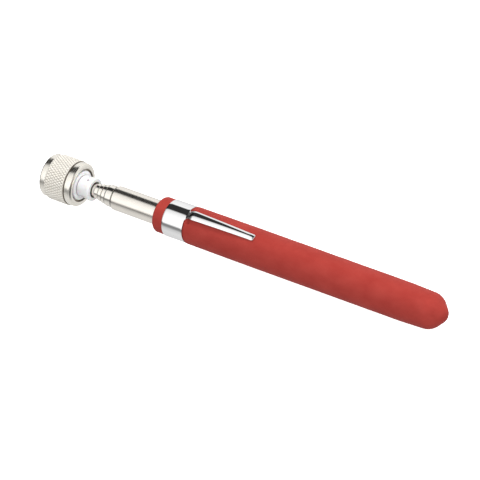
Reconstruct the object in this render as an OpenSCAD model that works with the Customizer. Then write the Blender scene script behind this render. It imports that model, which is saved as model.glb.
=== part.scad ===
// Telescopic magnetic pick-up tool, closed, lying along X with its pocket clip on top (+Z).
// The origin is the centre of the magnet's working face, and the handle points to +X.

/* [Magnet head] */
// Diameter over the points of the knurl
knurl_d = 20.6; // [20.3:0.1:23]
// Length of the knurled band
knurl_len = 10.2; // [8:0.1:10.3]
// Diameter of the plain band in front of the knurl
front_band_d = 19.4; // [19.3:0.1:20]
// Width of the plain front band
front_band_len = 3.1; // [1.8:0.1:3.2]
// Diameter of the band behind the knurl
rear_band_d = 19.7; // [19.4:0.1:20]
// Length of the steel cup
cup_len = 16.95; // [16.5:0.05:17.5]
// Diameter of the magnet
magnet_d = 15.9; // [14:0.1:16.4]
// Thickness of the magnet
magnet_len = 9.5; // [7:0.5:9.5]

/* [Head insert] */
// Diameter of the plastic flange in the cup's rear recess
flange_d = 13.4; // [12:0.1:14.6]
// Diameter of the plastic boss
boss_d = 9.9; // [9.5:0.1:11]
// Distance from the magnet's face to the boss's rear face
boss_end = 23.65; // [23.2:0.05:24]
// Diameter of the bead round the boss's rear end
bead_d = 10.6; // [10.2:0.1:11.6]
// How far the cross pin is turned from the clip's side
pin_turn = 13.5; // [0:0.5:90]

/* [Telescopic tubes] */
// Diameter of the innermost tube, which carries the head
rod_d = 6.0; // [5.8:0.05:6.2]
// Growth in diameter from one inner tube to the next
tube_step = 0.95; // [0.9:0.01:0.95]
// Wall of the inner tubes
tube_wall = 0.25; // [0.22:0.01:0.27]
// Diameter of the outer tube
outer_tube_d = 11.1; // [11:0.05:11.3]
// Wall of the outer tube
outer_wall = 0.35; // [0.3:0.01:0.4]
// Place of the second tube's mouth with the tool closed
first_mouth = 24.9; // [24.6:0.1:25.5]
// How far each inner tube's mouth stands out of the next one
mouth_gap = 2.2; // [1.8:0.1:2.4]
// Place of the outer tube's mouth
outer_mouth = 35.2; // [34.5:0.1:37]
// Travel of each of the five sliding sections
travel = 126; // [60:1:126]

/* [Handle] */
// Place of the grip's front edge
grip_start = 60.0; // [58:0.1:62]
// Diameter of the grip in front of the collar
grip_front_d = 16.1; // [15.9:0.1:16.4]
// Diameter of the grip's long cylindrical stretch
grip_d = 17.16; // [16.8:0.02:18]
// Place of the collar's front edge
collar_start = 65.6; // [64:0.1:66]
// Place of the collar's rear edge
collar_end = 76.4; // [76:0.1:78]
// Diameter of the collar
collar_d = 16.64; // [16.6:0.02:16.9]
// Place of the grip's rear tip, which is the tool's closed length
handle_end = 209; // [208.5:0.5:230]

/* [Pocket clip] */
// Thickness of the clip's and the collar's sheet
sheet = 0.5; // [0.4:0.05:0.5]
// Height of the clip's hump above the tool's axis
clip_height = 10.2; // [10.1:0.1:11]
// Place of the clip's tip
clip_end = 112; // [100:0.1:116]
// Width of the clip at its hump
clip_w = 4.65; // [4:0.05:5]
// Width of the clip near its tip
clip_tip_w = 3.25; // [2.6:0.05:3.6]

/* [Hidden] */
$fn = 96;

nickel = [0.80, 0.78, 0.72];
chrome = [0.86, 0.87, 0.89];
steel = [0.62, 0.62, 0.64];
brass = [0.80, 0.64, 0.33];
white_plastic = [0.93, 0.93, 0.95];
dark_plastic = [0.16, 0.16, 0.17];
red_vinyl = [0.72, 0.20, 0.17];

// Cup: a front cavity for the magnet, a web with the screw's pocket, and a rear recess.
cavity_d = 17.8;
recess_d = 15.2;
web_end = 15.3;
groove_w = 0.6;
groove_depth = 0.5;
cup_round = 1.0;
front_round = 0.7;
edge = 0.25;

// Head screw, and the plug that it holds in the innermost tube.
screw_d = 3;
screw_hole_d = 3.2;
screw_len = 8;
screw_head_d = 5.5;
screw_head_len = 1.9;
screw_pocket_d = 5.8;
screw_seat = 12.1;
screw_slot_w = 0.9;
screw_slot_depth = 0.8;
rod_start = 17.3;
plug_len = 8;
pin_d = 1.0;
pin_len = boss_d - 0.7;
pin_x = 21.0;

// Insert.
flange_len = 1.55;
flange_round = 0.35;
boss_fillet = 0.3;
bead_len = 1.55;
bead_round = 0.5;
boss_counterbore_d = 7.2;
boss_counterbore_len = 1.35;

// Tubes are numbered 1 (innermost, with the head) to 6 (fixed in the handle).
OUTER = 6;
fit = 0.03;          // running clearance of a tube in the next mouth and of a bush in its bore
rod_wall = 0.5;
lip_len = 1.4;
mouth_round = 0.3;
outer_mouth_round = 0.6;
bush_len = 6;
spring_len = 12;
spring_arc = 110;
spring_gap = 0.2;
tail_len = 1.6;
stop_gap = 0.1;      // what is left between a bush and its stop when a section is fully out
turn_gap = 0.02;     // running clearance of the innermost tube in its own bush
bead_w = 0.6;
bead_gap = 0.05;
bead_h = 0.13;

// Handle.
outer_tube_end = 203;
end_plug_len = 7;
end_plug_flange = 1.2;
grip_edge = 1.0;
shoulder_edge = 0.8;
shoulder_d = 16.84;
swell_start = 114;
swell_end = 187;
waist_d = 16.4;
nose_shoulder = 7.5;
nose_tip = 4.8;
seam_w = 0.2;

// Notch in the grip behind the collar, where the clip rises from the collar's edge.
notch_arc = 52;
notch_d = 15.2;
notch_len = 2.4;

// Clip: its side view is four cubic curves, given as [x, z] of the outer face.
clip_gap = 0.05;
root_x = collar_end + clip_gap;
root_z = collar_d / 2;
foot_z = 9.42;
clip_curves = [
    [[root_x, root_z], [root_x + 1.2, root_z + 0.15],
     [root_x + 1.6, clip_height], [root_x + 4.8, clip_height]],
    [[root_x + 4.8, clip_height], [root_x + 14, clip_height + 0.1],
     [clip_end - 11, clip_height - 0.1], [clip_end - 3, foot_z + 0.33]],
    [[clip_end - 3, foot_z + 0.33], [clip_end - 2, foot_z + 0.29],
     [clip_end - 1.6, foot_z], [clip_end - 1, foot_z]],
    [[clip_end - 1, foot_z], [clip_end - 0.5, foot_z],
     [clip_end - 0.2, foot_z + 0.16], [clip_end, foot_z + 0.36]]
];
curve_steps = [10, 10, 6, 4];
clip_across = 10;
// Sections along the clip, as [x, half-width, arch, how much of the arch is near the edges].
clip_sections = [
    [root_x, 3.0, 0.56, 0],
    [root_x + 0.5, 2.35, 0.5, 0],
    [root_x + 1.1, 2.0, 0.45, 0.2],
    [root_x + 4.2, clip_w / 2, 0.6, 0.5],
    [clip_end - 3, clip_tip_w / 2, 0.6, 0.5],
    [clip_end - 0.7, clip_tip_w / 2 - 0.05, 0.42, 0.5],
    [clip_end, clip_tip_w / 2 - 0.4, 0.3, 0.5]
];

function tube_r(i) = i == OUTER ? outer_tube_d / 2 : (rod_d + (i - 1) * tube_step) / 2;
function wall(i) = i == 1 ? rod_wall : i == OUTER ? outer_wall : tube_wall;
function bore_r(i) = tube_r(i) - wall(i);
function mouth_r(i) = tube_r(i - 1) + fit;
function mouth_x(i) = i == 1 ? rod_start : i == OUTER ? outer_mouth : first_mouth + (i - 2) * mouth_gap;
// The innermost tube stops on the bead in front of its bush, and the others on the bush itself.
function stop_len(i) = i == 1 ? bead_w + bead_gap : 0;
function bush_x(i) = mouth_x(i + 1) + lip_len + travel + stop_gap + stop_len(i);
function spring_x(i) = bush_x(i) + bush_len + spring_gap;
function tube_end(i) = i == OUTER ? outer_tube_end : spring_x(i) + spring_len + tail_len;
function seat_r(i) = tube_r(i) + (i == 1 ? turn_gap : 0);

// Points of an arc about [x, r], from angle a to angle b measured from the tool's axis.
function arc(x, r, radius, a, b, steps = 8) =
    [for (k = [0:steps]) let (t = a + (b - a) * k / steps) [x + radius * cos(t), r + radius * sin(t)]];

function cubic(p, t) =
    pow(1 - t, 3) * p[0] + 3 * pow(1 - t, 2) * t * p[1] + 3 * (1 - t) * t * t * p[2] + pow(t, 3) * p[3];
function cubic_slope(p, t) =
    3 * pow(1 - t, 2) * (p[1] - p[0]) + 6 * (1 - t) * t * (p[2] - p[1]) + 3 * t * t * (p[3] - p[2]);

// A solid of revolution about the tool's axis, from an outline of [x, radius] points.
module turned(outline, angle = 360) {
    rotate([0, 90, 0])
        rotate_extrude(angle = angle)
            polygon([for (p = outline) [p[1], p[0]]]);
}

// A ring between two radii, from x0 to x1.
module ring(x0, x1, r_in, r_out, angle = 360) {
    turned([[x0, r_in], [x1, r_in], [x1, r_out], [x0, r_out]], angle);
}

// A round bar along the tool's axis.
module bar(x0, x1, r) {
    translate([x0, 0, 0]) rotate([0, 90, 0]) cylinder(r = r, h = x1 - x0);
}

// A cylinder across the tool at the cross pin's place.
module across_head(d, len) {
    rotate([-pin_turn, 0, 0])
        translate([pin_x, 0, 0]) cylinder(d = d, h = len, center = true);
}

module magnet_cup() {
    front_r = front_band_d / 2;
    knurl_r = knurl_d / 2;
    rear_r = rear_band_d / 2;
    knurl_end = front_band_len + knurl_len;
    groove_end = knurl_end + groove_w;
    color(nickel) turned(concat(
        [[0, cavity_d / 2]],
        arc(front_round, front_r - front_round, front_round, 180, 90, 5),
        [[front_band_len, front_r], [front_band_len, knurl_r - edge], [front_band_len + edge, knurl_r],
         [knurl_end - edge, knurl_r], [knurl_end, knurl_r - edge],
         [knurl_end, rear_r - groove_depth], [groove_end, rear_r - groove_depth],
         [groove_end, rear_r]],
        arc(cup_len - cup_round, rear_r - cup_round, cup_round, 90, 0),
        [[cup_len, recess_d / 2 + edge], [cup_len - edge, recess_d / 2], [web_end, recess_d / 2],
         [web_end, screw_hole_d / 2], [screw_seat, screw_hole_d / 2],
         [screw_seat, screw_pocket_d / 2], [magnet_len, screw_pocket_d / 2],
         [magnet_len, cavity_d / 2]]
    ));
}

module magnet() {
    r = magnet_d / 2;
    color(steel) turned([[0, 0], [0, r - edge], [edge, r], [magnet_len, r], [magnet_len, 0]]);
}

module magnet_spacer() {
    color(dark_plastic) ring(0.15, magnet_len, magnet_d / 2, cavity_d / 2);
}

module head_insert() {
    flange_end = web_end + flange_len;
    boss_r = boss_d / 2;
    bead_r = bead_d / 2;
    bead_start = boss_end - bead_len;
    color(white_plastic) difference() {
        turned(concat(
            [[web_end, screw_hole_d / 2], [web_end, flange_d / 2]],
            arc(flange_end - flange_round, flange_d / 2 - flange_round, flange_round, 90, 0, 4),
            arc(flange_end + boss_fillet, boss_r + boss_fillet, boss_fillet, 180, 270),
            [[bead_start - 0.35, boss_r], [bead_start, bead_r - 0.1], [bead_start + 0.2, bead_r]],
            arc(boss_end - bead_round, bead_r - bead_round, bead_round, 90, 0, 5),
            [[boss_end, boss_counterbore_d / 2],
             [boss_end - boss_counterbore_len, boss_counterbore_d / 2],
             [boss_end - boss_counterbore_len, rod_d / 2],
             [rod_start, rod_d / 2], [rod_start, screw_hole_d / 2]]
        ));
        across_head(pin_d, boss_d + 2);
    }
}

module head_screw() {
    head_start = screw_seat - screw_head_len;
    color(steel) difference() {
        union() {
            turned([[head_start, 0], [head_start, screw_head_d / 2 - 0.6],
                    [head_start + 0.6, screw_head_d / 2], [screw_seat, screw_head_d / 2],
                    [screw_seat, 0]]);
            bar(screw_seat, screw_seat + screw_len, screw_d / 2);
        }
        translate([head_start - 1, -screw_head_d, -screw_slot_w / 2])
            cube([1 + screw_slot_depth, 2 * screw_head_d, screw_slot_w]);
    }
}

module head_pin() {
    color(steel) across_head(pin_d, pin_len);
}

module rod_plug() {
    color(brass) difference() {
        bar(rod_start, rod_start + plug_len, rod_d / 2 - rod_wall);
        bar(rod_start - 1, screw_seat + screw_len, screw_d / 2);
        across_head(pin_d, rod_d);
    }
}

// The innermost tube is plain, with a rolled bead on each side of its bush and springs.
module rod_tube() {
    first_bead = bush_x(1) - bead_gap - bead_w;
    last_bead = spring_x(1) + spring_len + bead_gap;
    r = tube_r(1);
    color(nickel) difference() {
        union() {
            ring(rod_start, tube_end(1), bore_r(1), r);
            for (x = [first_bead, last_bead])
                turned([[x, r - 0.1], [x, r], [x + 0.1, r + bead_h],
                        [x + bead_w - 0.1, r + bead_h], [x + bead_w, r], [x + bead_w, r - 0.1]]);
        }
        across_head(pin_d, rod_d + 1);
    }
}

// Tubes 2 to 6: the mouth is rolled inwards, to guide the next tube and to stop its bush.
module sliding_tube(i) {
    x0 = mouth_x(i);
    round = i == OUTER ? outer_mouth_round : mouth_round;
    color(nickel) turned(concat(
        [[x0, mouth_r(i)]],
        arc(x0 + round, tube_r(i) - round, round, 180, 90, 5),
        [[tube_end(i), tube_r(i)], [tube_end(i), bore_r(i)],
         [x0 + lip_len, bore_r(i)], [x0 + lip_len, mouth_r(i)]]
    ));
}

module bush(i) {
    color(brass) ring(bush_x(i), bush_x(i) + bush_len, seat_r(i), bore_r(i + 1) - fit);
}

// Two curved leaves that press on the next tube's bore and give the slide its friction.
module spring(i) {
    color(brass) for (side = [0, 180])
        rotate([side - spring_arc / 2, 0, 0])
            ring(spring_x(i), spring_x(i) + spring_len, seat_r(i), bore_r(i + 1) - fit, spring_arc);
}

module outer_plug() {
    color(steel) turned([
        [outer_tube_end - end_plug_len, 0], [outer_tube_end - end_plug_len, bore_r(OUTER)],
        [outer_tube_end, bore_r(OUTER)], [outer_tube_end, tube_r(OUTER)],
        [outer_tube_end + end_plug_flange, tube_r(OUTER)], [outer_tube_end + end_plug_flange, 0]
    ]);
}

module grip() {
    bore = tube_r(OUTER);
    bore_end = outer_tube_end + end_plug_flange;
    front_r = grip_front_d / 2;
    seat = collar_d / 2 - sheet;
    shoulder_r = shoulder_d / 2;
    apex = handle_end + (sqrt(2) - 1) * nose_tip;
    shoulder_x = apex - waist_d / 2 + nose_shoulder - sqrt(2) * nose_shoulder;
    color(red_vinyl) difference() {
        turned(concat(
            [[grip_start, bore]],
            arc(grip_start + grip_edge, front_r - grip_edge, grip_edge, 180, 90),
            [[collar_start, front_r], [collar_start, seat], [collar_end, seat]],
            arc(collar_end + shoulder_edge, shoulder_r - shoulder_edge, shoulder_edge, 180, 90, 5),
            [[swell_start, grip_d / 2], [swell_end, grip_d / 2]],
            arc(shoulder_x, waist_d / 2 - nose_shoulder, nose_shoulder, 90, 45),
            arc(handle_end - nose_tip, 0, nose_tip, 45, 0),
            [[bore_end, 0], [bore_end, bore]]
        ));
        rotate([180 - notch_arc / 2, 0, 0])
            ring(collar_end - 1, collar_end + notch_len, notch_d / 2, shoulder_d, notch_arc);
    }
}

// The band is rolled from sheet, with its seam on the side away from the clip.
module collar_band() {
    r_out = collar_d / 2;
    r_in = r_out - sheet;
    ease = 0.12;
    color(chrome) difference() {
        turned([
            [collar_start, r_in], [collar_start, r_out - ease], [collar_start + ease, r_out],
            [collar_end - ease, r_out], [collar_end, r_out - ease], [collar_end, r_in]
        ]);
        translate([collar_start - 1, -seam_w / 2, -r_out - 1])
            cube([collar_end - collar_start + 2, seam_w, 3]);
    }
}

// One solid swept through cross-sections along the clip's four curves.
module pocket_clip() {
    stations = concat(
        [[clip_curves[0], 0]],
        [for (c = [0:len(clip_curves) - 1]) for (k = [1:curve_steps[c]])
            [clip_curves[c], k / curve_steps[c]]]
    );
    xs = [for (s = clip_sections) s[0]];
    points = [for (s = stations)
        let (
            p = cubic(s[0], s[1]),
            slope = cubic_slope(s[0], s[1]),
            n = [-slope[1], slope[0]] / norm(slope),
            w = lookup(p[0], [for (q = clip_sections) [q[0], q[1]]]),
            sag = lookup(p[0], [for (q = clip_sections) [q[0], q[2]]]),
            square = lookup(p[0], [for (q = clip_sections) [q[0], q[3]]])
        )
        for (face = [0, 1]) for (j = [0:clip_across])
            let (v = 2 * j / clip_across - 1, drop = sag * ((1 - square) * pow(v, 2) + square * pow(v, 4)))
            [p[0] - face * sheet * n[0], v * w, p[1] - drop - face * sheet * n[1]]
    ];
    row = clip_across + 1;
    last = 2 * row * (len(stations) - 1);
    skin = [for (i = [0:len(stations) - 2]) for (j = [0:clip_across - 1])
        let (a = 2 * row * i + j, b = a + 2 * row)
        each [[a, a + 1, b + 1], [a, b + 1, b],
              [a + row, b + row + 1, a + row + 1], [a + row, b + row, b + row + 1]]];
    sides = [for (i = [0:len(stations) - 2])
        let (a = 2 * row * i, b = a + 2 * row, c = a + clip_across, d = b + clip_across)
        each [[a, b, b + row], [a, b + row, a + row], [c, d + row, d], [c, c + row, d + row]]];
    ends = [for (j = [0:clip_across - 1])
        let (f = last + j)
        each [[j, j + row + 1, j + 1], [j, j + row, j + row + 1],
              [f, f + 1, f + row + 1], [f, f + row + 1, f + row]]];
    color(chrome) polyhedron(points = points, faces = concat(skin, sides, ends));
}

magnet_cup();
magnet();
magnet_spacer();
head_insert();
head_screw();
head_pin();
rod_plug();
rod_tube();
bush(1);  // rod_bush
spring(1);  // rod_spring
for (i = [2:5]) {
    sliding_tube(i);
    bush(i);
    spring(i);
}
sliding_tube(OUTER);  // outer_tube
outer_plug();
grip();
collar_band();
pocket_clip();
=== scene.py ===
"""Looks of the telescopic magnetic pick-up tool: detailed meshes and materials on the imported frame.

The tool lies along X with its magnet face at x = 0 and its pocket clip on top. Outlines are in
millimetres, as [place along the axis, radius], and meshes are in metres.
"""

import math

import bmesh
import bpy
from mathutils import Matrix, Vector


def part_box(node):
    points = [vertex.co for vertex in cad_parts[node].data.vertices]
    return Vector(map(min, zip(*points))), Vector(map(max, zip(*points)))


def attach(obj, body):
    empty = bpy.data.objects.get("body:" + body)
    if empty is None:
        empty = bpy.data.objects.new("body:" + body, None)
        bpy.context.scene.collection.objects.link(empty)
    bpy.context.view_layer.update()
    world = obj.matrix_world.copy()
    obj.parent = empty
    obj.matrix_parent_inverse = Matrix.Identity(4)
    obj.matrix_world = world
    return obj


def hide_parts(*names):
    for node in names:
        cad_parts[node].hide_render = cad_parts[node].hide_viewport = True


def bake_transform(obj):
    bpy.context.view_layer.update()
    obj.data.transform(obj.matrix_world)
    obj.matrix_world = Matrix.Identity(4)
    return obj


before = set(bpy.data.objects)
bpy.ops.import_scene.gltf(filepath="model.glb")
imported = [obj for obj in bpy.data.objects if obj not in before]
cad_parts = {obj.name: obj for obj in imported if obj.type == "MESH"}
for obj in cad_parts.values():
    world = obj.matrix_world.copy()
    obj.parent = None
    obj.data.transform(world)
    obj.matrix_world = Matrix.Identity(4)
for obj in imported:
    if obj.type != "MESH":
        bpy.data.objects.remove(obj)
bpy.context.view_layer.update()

MM = 0.001
boxes = {node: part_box(node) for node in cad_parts}


def low(node):
    """Lowest x of a CAD node, in millimetres."""
    return boxes[node][0].x / MM


def high(node):
    """Highest x of a CAD node, in millimetres."""
    return boxes[node][1].x / MM


def radius(node):
    """Half the width of a CAD node across the tool, in millimetres."""
    return boxes[node][1].y / MM


# ---------------------------------------------------------------- camera

AXIS_TILT = math.radians(30.2)   # the handle leans this far towards the camera
CLIP_TURN = math.radians(24.5)   # the clip is turned this far up from the side that faces the camera
AXIS_SLOPE = math.radians(19.8)  # the tool runs down to the right at this slope
CAMERA_DISTANCE = 2.5
LENS = 435.0
SENSOR = 36.0
AIM_X = 0.10165
AIM_ABOVE_AXIS = 0.0009

to_camera = Vector((
    math.sin(AXIS_TILT),
    -math.cos(AXIS_TILT) * math.sin(CLIP_TURN),
    math.cos(AXIS_TILT) * math.cos(CLIP_TURN),
))
across = Vector((0, math.cos(CLIP_TURN), math.sin(CLIP_TURN)))
along = across.cross(to_camera)


def add_camera():
    right = math.cos(AXIS_SLOPE) * along + math.sin(AXIS_SLOPE) * across
    up = math.cos(AXIS_SLOPE) * across - math.sin(AXIS_SLOPE) * along
    aim = Vector((AIM_X, 0, 0)) + AIM_ABOVE_AXIS * up
    turn = Matrix((right, up, to_camera)).transposed()
    data = bpy.data.cameras.new("camera")
    data.lens = LENS
    data.sensor_width = SENSOR
    data.clip_end = 20
    camera = bpy.data.objects.new("camera", data)
    camera.matrix_world = Matrix.Translation(aim + CAMERA_DISTANCE * to_camera) @ turn.to_4x4()
    bpy.context.scene.collection.objects.link(camera)
    bpy.context.scene.camera = camera


add_camera()


# ---------------------------------------------------------------- mesh helpers

def arc(x, r, size, start, end, steps=8):
    """Points of an arc about (x, r), with angles in degrees from the tool's axis."""
    turns = [math.radians(start + (end - start) * k / steps) for k in range(steps + 1)]
    return [(x + size * math.cos(t), r + size * math.sin(t)) for t in turns]


def softened(corners, steps=4):
    """An outline whose corners, given as (x, r, size), are rounded by that size."""
    points = []
    count = len(corners)
    for k, (x, r, size) in enumerate(corners):
        here = Vector((x, r))
        before = Vector(corners[k - 1][:2]) - here
        after = Vector(corners[(k + 1) % count][:2]) - here
        size = min(size, 0.45 * before.length, 0.45 * after.length)
        if size <= 0:
            points.append((x, r))
            continue
        start = here + before.normalized() * size
        end = here + after.normalized() * size
        for s in range(steps + 1):
            t = s / steps
            p = (1 - t) ** 2 * start + 2 * t * (1 - t) * here + t * t * end
            points.append((p.x, p.y))
    return points


def new_object(name, mesh, material):
    mesh.materials.append(material)
    thing = bpy.data.objects.new(name, mesh)
    bpy.context.scene.collection.objects.link(thing)
    return thing


def finished(bm, name, material, sharp=40):
    """Turns a bmesh into an object with smooth shading and sharp edges past an angle."""
    bmesh.ops.recalc_face_normals(bm, faces=bm.faces)
    mesh = bpy.data.meshes.new(name)
    bm.to_mesh(mesh)
    bm.free()
    mesh.shade_smooth()
    mesh.set_sharp_from_angle(angle=math.radians(sharp))
    return new_object(name, mesh, material)


def revolved(name, outline, material, segments=128, limit=None, sharp=40):
    """A closed solid of revolution about the tool's axis, with limit(x, turn) as its largest radius."""
    bm = bmesh.new()
    rings = []
    for x, r in outline:
        if r < 1e-6:
            rings.append([bm.verts.new((x * MM, 0, 0))])
            continue
        ring = []
        for k in range(segments):
            turn = 2 * math.pi * k / segments
            size = min(r, limit(x, turn)) if limit else r
            ring.append(bm.verts.new((x * MM, size * MM * math.cos(turn), size * MM * math.sin(turn))))
        rings.append(ring)
    for k, ring in enumerate(rings):
        after = rings[(k + 1) % len(rings)]
        if len(ring) == len(after) == 1:
            continue
        for j in range(segments):
            i = (j + 1) % segments
            corners = [
                ring[j % len(ring)], ring[i % len(ring)],
                after[i % len(after)], after[j % len(after)],
            ]
            bm.faces.new(list(dict.fromkeys(corners)))
    return finished(bm, name, material, sharp)


def applied(thing):
    """Writes an object's modifiers into its mesh."""
    graph = bpy.context.evaluated_depsgraph_get()
    mesh = bpy.data.meshes.new_from_object(thing.evaluated_get(graph))
    thing.modifiers.clear()
    thing.data = mesh
    return thing


def stands_for(thing, body, *nodes):
    """Puts a piece on a body in place of CAD nodes, which it hides."""
    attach(thing, body)
    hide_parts(*nodes)
    return thing


# ---------------------------------------------------------------- measures of the head and its insert

FRONT_BAND = 3.1         # the plain band in front of the knurl ends here
FRONT_R = 9.7
FRONT_ROUND = 0.7        # rounding of that band's front edge
CAVITY_R = 8.9           # the open front, which holds the magnet
KNURL_END = 13.3
KNURL_STARTS = 48        # diamonds round the head
KNURL_PITCH = 2.3        # length of a diamond along the head
KNURL_DEPTH = 0.34       # depth of the knurl's grooves
KNURL_TAPER = 2.3        # steepness of their sides: at 1 the diamonds are points, above it they have flats
KNURL_STEPS = 8          # mesh steps across a diamond
GROOVE_END = 13.75       # a narrow groove between the knurl and the rear band
GROOVE_R = 9.35
REAR_R = 9.85            # the rear band
RECESS_R = 7.6           # the recess in the rear, where the insert sits
WEB_FRONT = 9.5          # the wall between the front cavity and the rear recess
WEB_BACK = 15.3
SCREW_SEAT = 12.1        # floor of the hollow for the screw's head
SCREW_HEAD_R = 2.9
SCREW_HOLE_R = 1.6

FLANGE_END = WEB_BACK + 1.55     # rear face of the insert's flange
BOSS_R = 4.95            # the boss that the innermost tube goes into
BEAD_R = 5.3             # the bead round the boss's rear end
COUNTERBORE_R = 3.6      # the wider mouth of its bore
ROOT_GROOVE = 0.4        # depth of the shadow line where the boss meets its flange
ROD_R = 3.0              # the innermost tube
PIN_TURN = math.radians(13.5)    # turn of the cross pin about the tool's axis

KNURL_METAL = 0.2        # metallic value of the knurl, whose small facets scatter the light
KNURL_SHADE = 1.0        # how strongly painted shade darkens the knurl with depth
GROOVE_SHADE = 0.35      # how strongly painted shade darkens the groove behind it with depth
RECESS_SHADE = 0.62      # how dark the painted shade in the rear recess is
ROOT_SHADE = 0.6         # how dark the shadow line at the boss's root is


# ---------------------------------------------------------------- materials

class Shader:
    """A material's node tree, with short calls for the nodes that the materials here share."""

    def __init__(self, name):
        self.material = bpy.data.materials.new(name)
        self.material.use_nodes = True
        self.tree = self.material.node_tree
        self.principled = self.tree.nodes["Principled BSDF"]
        self.coordinates = self.node("ShaderNodeTexCoord").outputs["Object"]

    def node(self, kind, **settings):
        made = self.tree.nodes.new(kind)
        for key, value in settings.items():
            setattr(made, key, value)
        return made

    def link(self, source, target):
        self.tree.links.new(source, target)

    def put(self, **values):
        for key, value in values.items():
            self.principled.inputs[key.replace("_", " ")].default_value = value

    def math(self, operation, a, b=0.0, c=0.0):
        made = self.node("ShaderNodeMath", operation=operation)
        for socket, value in zip(made.inputs, (a, b, c)):
            if isinstance(value, (int, float)):
                socket.default_value = value
            else:
                self.link(value, socket)
        return made.outputs[0]

    def stretched(self, sizes):
        """Object coordinates divided by a size in millimetres along each axis."""
        made = self.node("ShaderNodeMapping")
        made.inputs["Scale"].default_value = [1 / (size * MM) for size in sizes]
        self.link(self.coordinates, made.inputs["Vector"])
        return made.outputs["Vector"]

    def noise(self, sizes, detail=3.0, roughness=0.5):
        made = self.node("ShaderNodeTexNoise")
        made.inputs["Scale"].default_value = 1.0
        made.inputs["Detail"].default_value = detail
        made.inputs["Roughness"].default_value = roughness
        self.link(self.stretched(sizes), made.inputs["Vector"])
        return made.outputs["Fac"]

    def spread(self, value, low_out, high_out, low_in=0.3, high_in=0.7):
        made = self.node("ShaderNodeMapRange")
        for key, number in (("From Min", low_in), ("From Max", high_in),
                            ("To Min", low_out), ("To Max", high_out)):
            made.inputs[key].default_value = number
        self.link(value, made.inputs["Value"])
        return made.outputs["Result"]

    def ramp(self, value, stops):
        made = self.node("ShaderNodeValToRGB")
        steps = made.color_ramp.elements
        while len(steps) < len(stops):
            steps.new(0.5)
        for step, (place, colour) in zip(steps, stops):
            step.position = place
            step.color = (*colour, 1)
        self.link(value, made.inputs["Fac"])
        return made.outputs["Color"]

    def mixed(self, factor, colour, other):
        """A colour that goes over to another, fixed one as the factor goes from 0 to 1."""
        made = self.node("ShaderNodeMix", data_type="RGBA")
        near, far = [socket for socket in made.inputs if socket.type == "RGBA"]
        self.link(factor, made.inputs["Factor"])
        self.link(colour, near)
        far.default_value = (*other, 1)
        return next(socket for socket in made.outputs if socket.type == "RGBA")

    def from_axis(self):
        """A point's place along the tool's axis and its distance from that axis."""
        split = self.node("ShaderNodeSeparateXYZ")
        self.link(self.coordinates, split.inputs[0])
        x, y, z = split.outputs
        square = self.math("MULTIPLY_ADD", y, y, self.math("MULTIPLY", z, z))
        return x, self.math("POWER", square, 0.5)

    def bump(self, height, distance, strength=1.0, below=None):
        made = self.node("ShaderNodeBump")
        made.inputs["Strength"].default_value = strength
        made.inputs["Distance"].default_value = distance * MM
        self.link(height, made.inputs["Height"])
        if below is not None:
            self.link(below, made.inputs["Normal"])
        return made.outputs["Normal"]

    def wear(self, colour=None, rough=None, normal=None):
        for source, key in ((colour, "Base Color"), (rough, "Roughness"), (normal, "Normal")):
            if source is not None:
                self.link(source, self.principled.inputs[key])


def nickel(name, base, rough, grain):
    """Nickel plate with faint turned or drawn lines, whose length along each axis is grain."""
    s = Shader(name)
    s.put(Metallic=1.0)
    cloud = s.noise((6, 4, 4), detail=4)
    lines = s.noise(grain, detail=2)
    tint = s.ramp(cloud, [(0.3, [0.95 * c for c in base]), (0.7, base)])
    s.wear(tint, s.spread(lines, rough - 0.05, rough + 0.06), s.bump(lines, 0.006, 0.5))
    return s.material


def knurled_nickel():
    """The head's nickel, with painted shade down in the knurl, in the groove behind it and in the rear
    recess.
    """
    s = Shader("nickel_head")
    s.put(Metallic=1.0)
    x, size = s.from_axis()
    past_band = s.math("GREATER_THAN", x, FRONT_BAND * MM)
    past_knurl = s.math("GREATER_THAN", x, KNURL_END * MM)
    in_knurl = s.math("SUBTRACT", past_band, past_knurl)
    in_groove = s.math("MULTIPLY", past_knurl, s.math("LESS_THAN", x, (GROOVE_END - 0.02) * MM))
    # painted shade: everything nearer the axis than the rear recess's wall is darkened
    in_recess = s.math("LESS_THAN", size, (RECESS_R + 0.03) * MM)
    surface = s.math("MULTIPLY_ADD", in_knurl, radius("magnet_cup") * MM - REAR_R * MM, REAR_R * MM)
    # painted shade: the knurl and the groove behind it go over to dark brown with depth below the surface
    share = s.math("MULTIPLY_ADD", in_knurl, KNURL_SHADE, s.math("MULTIPLY", in_groove, GROOVE_SHADE))
    depth = s.math("MULTIPLY", s.math("SUBTRACT", surface, size), share)
    shade = s.math("MAXIMUM", s.spread(depth, 0.0, 1.0, 0.10 * MM, 0.42 * MM),
                   s.math("MULTIPLY", in_recess, RECESS_SHADE))
    cloud = s.noise((6, 4, 4), detail=4)
    lines = s.noise((0.05, 2, 2), detail=2)
    plate = s.ramp(cloud, [(0.3, (0.98, 0.935, 0.85)), (0.7, (1.0, 0.965, 0.89))])
    tint = s.mixed(shade, plate, (0.16, 0.13, 0.10))
    s.wear(tint, s.spread(lines, 0.21, 0.28), s.bump(lines, 0.003, 0.4))
    s.link(s.spread(in_knurl, 1.0, KNURL_METAL, 0, 1), s.principled.inputs["Metallic"])
    return s.material


def chrome():
    s = Shader("chrome")
    s.put(Metallic=1.0)
    cloud = s.noise((9, 5, 5), detail=3)
    scratches = s.noise((3.0, 0.12, 0.12), detail=2)
    tint = s.ramp(cloud, [(0.3, (0.93, 0.935, 0.94)), (0.7, (0.97, 0.97, 0.97))])
    s.wear(tint, s.spread(scratches, 0.03, 0.09), s.bump(scratches, 0.002, 0.3))
    return s.material


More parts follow.
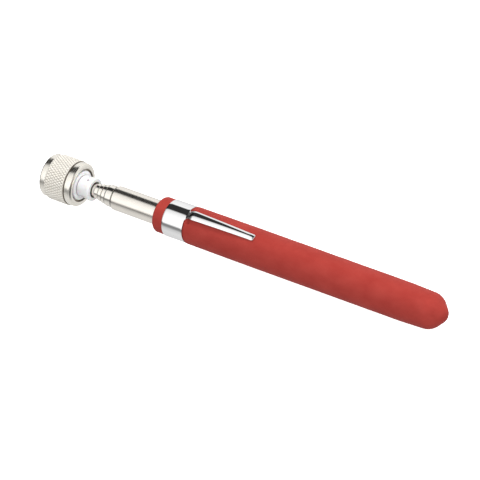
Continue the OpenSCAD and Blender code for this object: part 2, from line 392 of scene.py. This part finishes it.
def white_plastic():
    s = Shader("white_plastic")
    s.put(Specular_IOR_Level=0.5, Subsurface_Weight=0.15, Subsurface_Scale=0.002)
    cloud = s.noise((3, 3, 3), detail=3)
    fine = s.noise((0.25, 0.25, 0.25), detail=3)
    tint = s.ramp(cloud, [(0.3, (0.93, 0.92, 0.925)), (0.7, (0.97, 0.965, 0.965))])
    x, size = s.from_axis()
    # painted shade: the boss's root, just behind the flange, goes over to dark grey
    in_root = s.math("MULTIPLY", s.math("LESS_THAN", x, (FLANGE_END + 0.45) * MM),
                     s.math("LESS_THAN", size, (BOSS_R - 0.05) * MM))
    tint = s.mixed(s.math("MULTIPLY", in_root, ROOT_SHADE), tint, (0.30, 0.28, 0.29))
    # painted shade: the counterbore and the bore in the boss go over to dark brown-grey
    in_bore = s.math("LESS_THAN", size, (COUNTERBORE_R + 0.03) * MM)
    tint = s.mixed(in_bore, tint, (0.27, 0.24, 0.22))
    s.wear(tint, s.spread(fine, 0.28, 0.40), s.bump(fine, 0.01, 0.4))
    return s.material


def red_vinyl():
    s = Shader("red_vinyl")
    s.put(Specular_IOR_Level=0.12)
    cloud = s.noise((9, 6, 6), detail=4)
    grain = s.noise((0.22, 0.22, 0.22), detail=4, roughness=0.6)
    dimple = s.noise((1.6, 1.2, 1.2), detail=3)
    tint = s.ramp(cloud, [(0.28, (0.38, 0.041, 0.032)), (0.72, (0.445, 0.057, 0.045))])
    soft = s.bump(dimple, 0.03, 0.5)
    s.wear(tint, s.spread(grain, 0.50, 0.68), s.bump(grain, 0.02, 0.6, below=soft))
    return s.material


def plain(name, base, rough, metallic, size=1.0):
    """A lightly mottled material for the magnet and the pieces inside."""
    s = Shader(name)
    s.put(Metallic=metallic)
    cloud = s.noise((size, size, size), detail=4)
    fine = s.noise((size / 6, size / 6, size / 6), detail=3)
    tint = s.ramp(cloud, [(0.3, [0.85 * c for c in base]), (0.7, base)])
    s.wear(tint, s.spread(fine, rough - 0.06, rough + 0.08), s.bump(fine, 0.006, 0.5))
    return s.material


NICKEL_HEAD = knurled_nickel()
NICKEL_ROD = nickel("nickel_inner_tubes", (0.96, 0.92, 0.85), 0.12, (4, 0.08, 0.08))
NICKEL_OUTER = nickel("nickel_outer_tube", (0.98, 0.93, 0.855), 0.20, (4, 0.08, 0.08))
CHROME = chrome()
WHITE = white_plastic()
RED = red_vinyl()
MAGNET = plain("magnet_plate", (0.66, 0.66, 0.68), 0.42, 1.0)
STEEL = plain("zinc_steel", (0.52, 0.53, 0.55), 0.35, 1.0)
BRASS = plain("bare_brass", (0.78, 0.57, 0.26), 0.28, 1.0)
DARK = plain("dark_plastic", (0.03, 0.03, 0.035), 0.45, 0.0)


# ---------------------------------------------------------------- magnet head

def knurl_limit(x, turn):
    """Largest radius at a point of the head: diamonds between two families of crossing grooves."""
    size = radius("magnet_cup")
    if not FRONT_BAND < x < KNURL_END:
        return size
    u = KNURL_STARTS * turn / (2 * math.pi)
    v = (x - FRONT_BAND) / KNURL_PITCH
    ridge = min(1 - abs(2 * ((u + w) % 1) - 1) for w in (v, -v))
    return size - KNURL_DEPTH * (1 - min(1, KNURL_TAPER * ridge))


def magnet_head():
    size = radius("magnet_cup")
    back = high("magnet_cup")
    ease = 0.25
    steps = round((KNURL_END - FRONT_BAND) / KNURL_PITCH * 2 * KNURL_STEPS)
    front = [(0, CAVITY_R)]
    front += arc(FRONT_ROUND, FRONT_R - FRONT_ROUND, FRONT_ROUND, 180, 90)
    front += [(FRONT_BAND - 0.05, FRONT_R), (FRONT_BAND, FRONT_R - 0.05)]
    knurl = [(FRONT_BAND + 0.02, size - ease)]
    for k in range(steps + 1):
        x = FRONT_BAND + (KNURL_END - FRONT_BAND) * k / steps
        x = min(max(x, FRONT_BAND + 0.03), KNURL_END - 0.03)
        inset = max(0, ease - min(x - FRONT_BAND, KNURL_END - x))
        knurl.append((x, size - inset))
    knurl.append((KNURL_END - 0.02, size - ease))
    rear = softened([
        (KNURL_END, GROOVE_R, 0.08), (GROOVE_END, GROOVE_R, 0.08), (GROOVE_END, REAR_R, 0.15),
        (back - 0.9, REAR_R, 0.4), (back - 0.4, REAR_R - 0.4, 0.25), (back, REAR_R - 1.25, 0.3),
        (back, RECESS_R, 0.3), (WEB_BACK, RECESS_R, 0.1), (WEB_BACK, SCREW_HOLE_R, 0),
        (SCREW_SEAT, SCREW_HOLE_R, 0), (SCREW_SEAT, SCREW_HEAD_R, 0),
        (WEB_FRONT, SCREW_HEAD_R, 0), (WEB_FRONT, CAVITY_R, 0),
    ], steps=6)
    cup = revolved("knurled_cup", front + knurl + rear, NICKEL_HEAD,
                   segments=KNURL_STARTS * KNURL_STEPS, limit=knurl_limit, sharp=25)
    stands_for(cup, "head", "magnet_cup")


def insert_outline():
    """The flange, the shadow line round the boss, the boss, its bead and the counterbore in its end."""
    back = high("head_insert")
    flange_r = radius("head_insert")
    bead_start = back - 1.55
    counterbore = back - 1.35
    outline = [(WEB_BACK, SCREW_HOLE_R), (WEB_BACK, flange_r)]
    outline += arc(FLANGE_END - 0.35, flange_r - 0.35, 0.35, 90, 0, 6)
    outline += [(FLANGE_END, BOSS_R + 0.15), (FLANGE_END + 0.05, BOSS_R - ROOT_GROOVE)]
    outline += [(FLANGE_END + 0.35, BOSS_R - ROOT_GROOVE), (FLANGE_END + 0.45, BOSS_R - 0.1)]
    outline += [(FLANGE_END + 0.6, BOSS_R), (bead_start - 0.4, BOSS_R)]
    outline += arc(bead_start + 0.2, BEAD_R - 0.3, 0.3, 170, 90, 5)
    outline += arc(back - 0.5, BEAD_R - 0.5, 0.5, 90, 0, 8)
    outline += [(back, COUNTERBORE_R + 0.1), (back - 0.1, COUNTERBORE_R), (counterbore, COUNTERBORE_R)]
    rod_start = low("rod_tube")
    outline += [(counterbore, ROD_R), (rod_start, ROD_R), (rod_start, SCREW_HOLE_R)]
    return outline


def pin_hole():
    """A round bar along the cross pin, longer than the boss is wide."""
    pin_low, pin_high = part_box("head_pin")
    place = Matrix.Translation((pin_high + pin_low) / 2) @ Matrix.Rotation(-PIN_TURN, 4, "X")
    bm = bmesh.new()
    bmesh.ops.create_cone(bm, cap_ends=True, segments=32, radius1=0.5 * MM, radius2=0.5 * MM,
                          depth=14 * MM, matrix=place)
    return finished(bm, "pin_hole", WHITE)


def boss_insert():
    insert = revolved("boss_insert", insert_outline(), WHITE)
    cutter = pin_hole()
    hole = insert.modifiers.new("hole", "BOOLEAN")
    hole.object = cutter
    hole.operation = "DIFFERENCE"
    hole.solver = "EXACT"
    applied(insert)
    bpy.data.objects.remove(cutter)
    insert.data.set_sharp_from_angle(angle=math.radians(40))
    stands_for(insert, "head", "head_insert")


magnet_head()
boss_insert()


# ---------------------------------------------------------------- tubes

LIP = 1.4                # length of the thick ring inside a tube's mouth
FIT = 0.03               # gap between a mouth and the tube in it
CURL_STEPS = 10


def tube(name, body, node, material, inner, wall, curl):
    """A drawn tube whose mouth curls in over a length of curl, to a radius of inner."""
    start, end, r = low(node), high(node), radius(node)
    outline = [(start + 0.02, inner)]
    for k in range(CURL_STEPS + 1):
        turn = math.radians(90 * k / CURL_STEPS)
        outline.append((start + curl * (1 - math.cos(turn)), inner + (r - inner) * math.sin(turn)))
    outline += [(end - 0.05, r), (end, r - 0.05), (end, r - wall)]
    outline += [(start + LIP, r - wall), (start + LIP, inner)]
    stands_for(revolved(name, outline, material), body, node)


def rod():
    start, end = low("rod_tube"), high("rod_tube")
    bore = ROD_R - 0.5
    outline = [(start, bore), (start, ROD_R), (end, ROD_R), (end, bore)]
    stands_for(revolved("rod_section", outline, NICKEL_ROD), "head", "rod_tube")


rod()
inside = ROD_R
for k in (2, 3, 4, 5):
    tube(f"section_{k}_tube", f"section_{k}", f"tube_{k}", NICKEL_ROD, inside + FIT, wall=0.25, curl=0.85)
    inside = radius(f"tube_{k}")
tube("outer_section_tube", "handle", "outer_tube", NICKEL_OUTER, inside + FIT, wall=0.35, curl=1.3)


# ---------------------------------------------------------------- collar and clip

COLLAR_START = low("collar_band")
COLLAR_END = high("collar_band")
COLLAR_R = radius("collar_band")
SHEET = 0.5              # thickness of the collar's and the clip's metal
SEAM = 0.1               # half the gap between the ends of the rolled band
CLIP_END = high("pocket_clip")
CLIP_STEPS = 12          # mesh steps across the clip
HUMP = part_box("pocket_clip")[1].z / MM
FOOT = 9.42              # height of the clip's tip


def cubic(points, t):
    a, b, c, d = [Vector(p) for p in points]
    return (1 - t) ** 3 * a + 3 * (1 - t) ** 2 * t * b + 3 * (1 - t) * t * t * c + t ** 3 * d


def table_value(rows, x, column):
    """Straight-line value between the rows of a short table, whose first column is x."""
    for before, after in zip(rows, rows[1:]):
        if x <= after[0]:
            t = max(0, (x - before[0]) / (after[0] - before[0]))
            return before[column] + t * (after[column] - before[column])
    return rows[-1][column]


def clip_stations():
    """Points along the clip's middle: (x, height, half-width, arch, share of the arch near the edges)."""
    x0, z0 = COLLAR_END, COLLAR_R
    curves = [
        ([(x0, z0), (x0 + 1.25, z0 + 0.15), (x0 + 1.65, HUMP - 0.03), (x0 + 4.85, HUMP - 0.03)], 16),
        ([(x0 + 4.85, HUMP - 0.03), (x0 + 14, HUMP), (CLIP_END - 11, HUMP - 0.1),
          (CLIP_END - 3, FOOT + 0.33)], 24),
        ([(CLIP_END - 3, FOOT + 0.33), (CLIP_END - 2, FOOT + 0.29), (CLIP_END - 1.6, FOOT),
          (CLIP_END - 1, FOOT)], 8),
        ([(CLIP_END - 1, FOOT), (CLIP_END - 0.5, FOOT), (CLIP_END - 0.2, FOOT + 0.1),
          (CLIP_END, FOOT + 0.2)], 6),
    ]
    arches = [(x0, 0.56, 0), (x0 + 1.1, 0.45, 0.2), (x0 + 4.2, 0.6, 0.5), (CLIP_END - 3, 0.80, 0),
              (CLIP_END, 0.35, 0)]
    widths = [(x0 + 1.2, 2.0), (x0 + 4.2, 2.325), (CLIP_END - 3, 1.625), (CLIP_END - 0.7, 1.575),
              (CLIP_END, 1.2)]
    stations = []
    for points, steps in curves:
        for k in range(1, steps + 1):
            p = cubic(points, k / steps)
            half = table_value(widths, p.x, 1)
            fillet = max(0.0, 1 - (p.x - x0) / 1.2)
            half += 1.0 * (1 - math.sqrt(max(0.0, 1 - fillet * fillet)))
            stations.append((p.x, p.y, half, table_value(arches, p.x, 1), table_value(arches, p.x, 2)))
    return stations


def collar_and_clip():
    """One chrome sheet: a band rolled round the grip, with the clip as a tongue from its rear edge."""
    bm = bmesh.new()
    root = math.asin(3.0 / COLLAR_R)
    gap = SEAM / COLLAR_R
    tongue = [-root + 2 * root * k / CLIP_STEPS for k in range(CLIP_STEPS + 1)]
    side = [root + (math.pi - gap - root) * k / 40 for k in range(1, 41)]
    turns = [-t for t in reversed(side)] + tongue + side
    rows = []
    band_steps = 10
    for k in range(band_steps + 1):
        x = COLLAR_START + (COLLAR_END - COLLAR_START) * k / band_steps
        rows.append([bm.verts.new((x * MM, COLLAR_R * MM * math.sin(t), COLLAR_R * MM * math.cos(t)))
                     for t in turns])
    for before, after in zip(rows, rows[1:]):
        for j in range(len(turns) - 1):
            bm.faces.new((before[j], before[j + 1], after[j + 1], after[j]))
    last = rows[-1][len(side):len(side) + CLIP_STEPS + 1]
    for x, z, half, arch, square in clip_stations():
        row = []
        for k in range(CLIP_STEPS + 1):
            v = 2 * k / CLIP_STEPS - 1
            drop = arch * ((1 - square) * v ** 2 + square * v ** 4)
            row.append(bm.verts.new((x * MM, v * half * MM, (z - drop) * MM)))
        for j in range(CLIP_STEPS):
            bm.faces.new((last[j], last[j + 1], row[j + 1], row[j]))
        last = row
    bmesh.ops.recalc_face_normals(bm, faces=bm.faces)
    top = max(bm.faces, key=lambda f: f.calc_center_median().z)
    if top.normal.z < 0:
        bmesh.ops.reverse_faces(bm, faces=bm.faces)
    mesh = bpy.data.meshes.new("collar_and_clip")
    bm.to_mesh(mesh)
    bm.free()
    sheet = new_object("collar_and_clip", mesh, CHROME)
    thick = sheet.modifiers.new("thick", "SOLIDIFY")
    thick.thickness = SHEET * MM
    thick.offset = -1
    ease = sheet.modifiers.new("ease", "BEVEL")
    ease.width = 0.09 * MM
    ease.segments = 3
    ease.limit_method = "ANGLE"
    ease.angle_limit = math.radians(50)
    applied(sheet)
    sheet.data.shade_smooth()
    sheet.data.set_sharp_from_angle(angle=math.radians(50))
    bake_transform(sheet)
    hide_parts("collar_band", "pocket_clip")


collar_and_clip()


# ---------------------------------------------------------------- grip

NOTCH_TURN = math.radians(24)    # half the arc of the notch under the clip's root
NOTCH_R = 7.62                   # floor of that notch
NOTCH_END = 79.2
SWELL_START = 114                # the barrel is a plain cylinder from here
SWELL_END = 187                  # to here
NOSE_SHOULDER = 7.5              # rounding between the barrel and the blunt cone of the nose
RIPPLE = 0.05                    # depth of the sleeve's unevenness


def ripple(x, turn):
    """Small unevenness of the soft sleeve, between 0 and 1."""
    waves = [(0.31, 2, 0.0), (0.17, -3, 1.3), (0.53, 1, 4.0)]
    return 0.5 + sum(math.sin(a * x + b * turn + c) for a, b, c in waves) / 6


def grip_limit(x, turn):
    """Largest radius of the sleeve: its barrel less the ripple, or the notch under the clip."""
    from_top = abs((turn - math.pi / 2 + math.pi) % (2 * math.pi) - math.pi)
    if COLLAR_END - 0.5 < x < NOTCH_END and from_top < NOTCH_TURN:
        return NOTCH_R
    return radius("grip") - RIPPLE * ripple(x, turn)


def grip_sleeve():
    start, end, barrel = low("grip"), high("grip"), radius("grip")
    plug_end = high("outer_plug")
    bore = radius("outer_tube")
    front, shoulder, waist, tip = 8.05, 8.42, 8.2, 4.8
    apex = end + (math.sqrt(2) - 1) * tip
    corner = apex - waist + NOSE_SHOULDER * (1 - math.sqrt(2))
    outline = [(start, bore), (start, 6.9)]
    outline += arc(start + 1.0, front - 1.0, 1.0, 180, 90, 10)
    outline += [(x, front) for x in (61.5, 62.5, 63.5, 64.6)]
    outline += softened([(COLLAR_START, front, 0.2), (COLLAR_START, COLLAR_R - SHEET, 0.05)])
    outline += [(COLLAR_END, COLLAR_R - SHEET), (COLLAR_END + 0.02, shoulder - 0.85)]
    outline += arc(COLLAR_END + 0.95, shoulder - 0.85, 0.85, 180, 90, 8)
    length = SWELL_START - COLLAR_END
    rise = (barrel - shoulder) / length
    outline += [(COLLAR_END + x, shoulder + rise * x) for x in range(2, int(length))]
    outline += [(x, barrel) for x in range(SWELL_START, SWELL_END + 1)]
    fall = (barrel - waist) / (corner - SWELL_END)
    outline += [(x, barrel - fall * (x - SWELL_END)) for x in range(SWELL_END + 1, round(corner))]
    outline += arc(corner, waist - NOSE_SHOULDER, NOSE_SHOULDER, 90, 45, 12)
    outline += arc(end - tip, 0, tip, 45, 0, 10)
    outline += [(plug_end, 0), (plug_end, bore)]
    sleeve = revolved("grip_sleeve", outline, RED, segments=120, limit=grip_limit)
    stands_for(sleeve, "handle", "grip")


grip_sleeve()


# ---------------------------------------------------------------- CAD nodes that stay

kept = {
    MAGNET: ["magnet"],
    DARK: ["magnet_spacer"],
    STEEL: ["head_screw", "head_pin", "outer_plug"],
    BRASS: ["rod_plug", "rod_bush", "rod_spring"]
           + [f"tube_{k}_{piece}" for k in (2, 3, 4, 5) for piece in ("bush", "spring")],
}
for material, nodes in kept.items():
    for node in nodes:
        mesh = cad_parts[node].data
        mesh.materials.clear()
        mesh.materials.append(material)


# ---------------------------------------------------------------- studio

FLOOR_SIZE = 30.0
FLOOR_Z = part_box("magnet_cup")[0].z - 0.02 * MM


def floor():
    bm = bmesh.new()
    bmesh.ops.create_grid(bm, x_segments=4, y_segments=4, size=FLOOR_SIZE)
    mesh = bpy.data.meshes.new("floor")
    bm.to_mesh(mesh)
    bm.free()
    s = Shader("pale_floor")
    s.put(Roughness=0.9, Specular_IOR_Level=0.0, Emission_Strength=0.85)
    s.put(Base_Color=(0.93, 0.93, 0.93, 1), Emission_Color=(1, 1, 1, 1))
    ground = new_object("floor", mesh, s.material)
    ground.location.z = FLOOR_Z
    ground.visible_glossy = False
    ground.visible_diffuse = False


# Brightness of the light tent by angle about the tool's axis, from +Y (0) over the top (90).
TENT = [
    (-180, 0.36), (-172, 0.60), (-150, 0.74), (-110, 0.70), (-60, 0.70), (-25, 0.80),
    (0, 0.92), (26, 0.96), (31, 0.03), (69, 0.03), (76, 0.80), (90, 0.95), (108, 1.08),
    (130, 1.20), (152, 1.20), (158, 0.95), (166, 0.22), (178, 0.26), (180, 0.36),
]
# Its brightness along the tool, from -X (0) to +X (1): dim beyond the magnet's end.
TENT_ENDS = [(0, 0.08), (0.10, 0.12), (0.20, 1.0), (1, 1.0)]
# A dark spot beyond the handle's end: its direction, and the brightness from the side opposite
# to it (0) to its middle (1).
SPOT = (0.924, -0.277, -0.262)
SPOT_EDGE = [(0, 1.0), (0.94, 1.0), (0.965, 0.20), (1, 0.10)]


def world_ramp(tree, value, stops):
    """A grey colour ramp over a value between 0 and 1."""
    ramp = tree.nodes.new("ShaderNodeValToRGB")
    steps = ramp.color_ramp.elements
    while len(steps) < len(stops):
        steps.new(0.5)
    for step, (place, grey) in zip(steps, stops):
        step.position = place
        step.color = (grey, grey, grey, 1)
    tree.links.new(value, ramp.inputs["Fac"])
    return ramp.outputs["Color"]


def from_zero_to_one(tree, value, size):
    """A value between -size and size, brought to between 0 and 1."""
    scale = tree.nodes.new("ShaderNodeMapRange")
    scale.inputs["From Min"].default_value = -size
    scale.inputs["From Max"].default_value = size
    tree.links.new(value, scale.inputs["Value"])
    return scale.outputs["Result"]


def multiplied(tree, first, second):
    """One grey colour times another."""
    mix = tree.nodes.new("ShaderNodeMix")
    mix.data_type = "RGBA"
    mix.blend_type = "MULTIPLY"
    mix.inputs["Factor"].default_value = 1.0
    colours = [socket for socket in mix.inputs if socket.type == "RGBA"]
    tree.links.new(first, colours[0])
    tree.links.new(second, colours[1])
    return next(socket for socket in mix.outputs if socket.type == "RGBA")


def studio_world():
    """A light tent with a black flag above the tool and a grey gap in front, against white paper."""
    world = bpy.data.worlds.new("studio")
    world.use_nodes = True
    bpy.context.scene.world = world
    tree = world.node_tree
    direction = tree.nodes.new("ShaderNodeTexCoord").outputs["Generated"]
    split = tree.nodes.new("ShaderNodeSeparateXYZ")
    tree.links.new(direction, split.inputs[0])
    turn = tree.nodes.new("ShaderNodeMath")
    turn.operation = "ARCTAN2"
    tree.links.new(split.outputs["Z"], turn.inputs[0])
    tree.links.new(split.outputs["Y"], turn.inputs[1])
    to_spot = tree.nodes.new("ShaderNodeVectorMath")
    to_spot.operation = "DOT_PRODUCT"
    to_spot.inputs[1].default_value = SPOT
    tree.links.new(direction, to_spot.inputs[0])
    round_axis = from_zero_to_one(tree, turn.outputs[0], math.pi)
    along_axis = from_zero_to_one(tree, split.outputs["X"], 1)
    near_spot = from_zero_to_one(tree, to_spot.outputs["Value"], 1)
    light = world_ramp(tree, round_axis, [((degrees + 180) / 360, grey) for degrees, grey in TENT])
    light = multiplied(tree, light, world_ramp(tree, along_axis, TENT_ENDS))
    light = multiplied(tree, light, world_ramp(tree, near_spot, SPOT_EDGE))
    tent = tree.nodes["Background"]
    tree.links.new(light, tent.inputs["Color"])
    paper = tree.nodes.new("ShaderNodeBackground")
    paper.inputs["Color"].default_value = (1, 1, 1, 1)
    seen = tree.nodes.new("ShaderNodeMixShader")
    tree.links.new(tree.nodes.new("ShaderNodeLightPath").outputs["Is Camera Ray"], seen.inputs[0])
    tree.links.new(tent.outputs[0], seen.inputs[1])
    tree.links.new(paper.outputs[0], seen.inputs[2])
    tree.links.new(seen.outputs[0], tree.nodes["World Output"].inputs["Surface"])


def soft_light(name, place, aim, size, power):
    data = bpy.data.lights.new(name, "AREA")
    data.size = size
    data.energy = power
    light = bpy.data.objects.new(name, data)
    light.location = place
    light.rotation_euler = (Vector(aim) - Vector(place)).to_track_quat("-Z", "Y").to_euler()
    light.visible_glossy = False
    bpy.context.scene.collection.objects.link(light)


floor()
studio_world()
soft_light("key", (0.1, 1.1, 1.3), (0.1, 0, 0), 0.8, 20.0)
soft_light("fill", (1.5, -0.2, 0.8), (0.1, 0, 0), 0.8, 6.0)

bpy.context.scene.view_settings.view_transform = "Standard"
